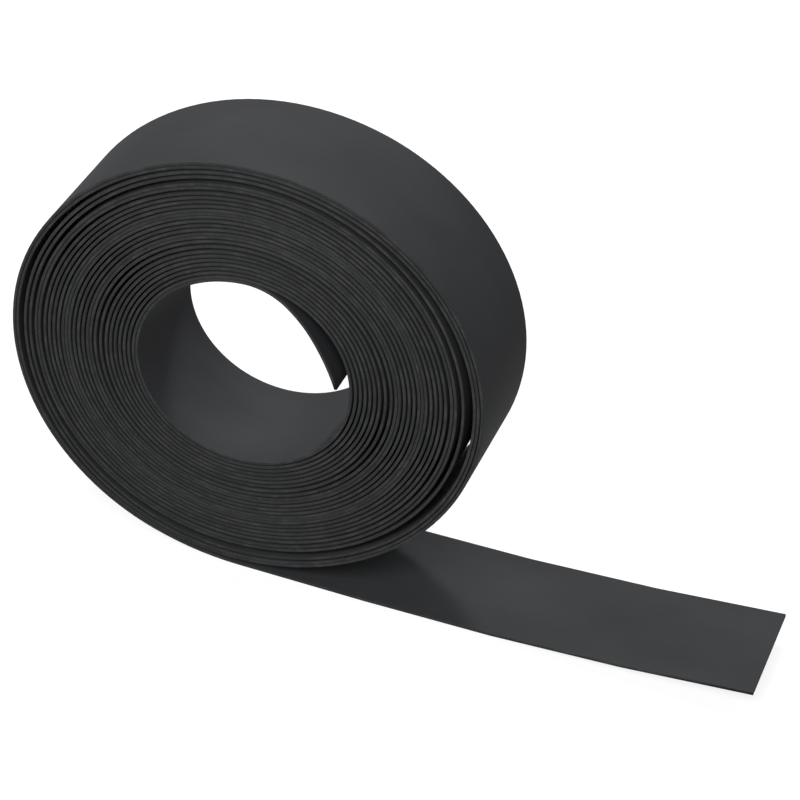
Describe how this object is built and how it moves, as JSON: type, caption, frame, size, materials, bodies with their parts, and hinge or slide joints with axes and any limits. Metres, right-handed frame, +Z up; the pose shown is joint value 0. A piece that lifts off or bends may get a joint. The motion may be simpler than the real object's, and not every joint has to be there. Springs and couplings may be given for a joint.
{
  "type": "plastic lawn edging roll",
  "caption": "Roll of flat plastic lawn edging strip standing on its rim, with a loose outer turn whose free end lies out flat and a free inner end in the core.",
  "frame": {"origin": "on the floor, under the axis of the roll and half way along it", "axes": "+Z up, +Y along the axis of the roll away from the viewer, +X along the floor towards the free outer end"},
  "size_m": [0.6269, 0.1, 0.3817],
  "materials": {
    "strip_plastic": "matte, dark grey-black polyethylene with a faint extruded sheen"
  },
  "bodies": {
    "root": {"edging_strip": "strip_plastic"}
  },
  "joints": []
}
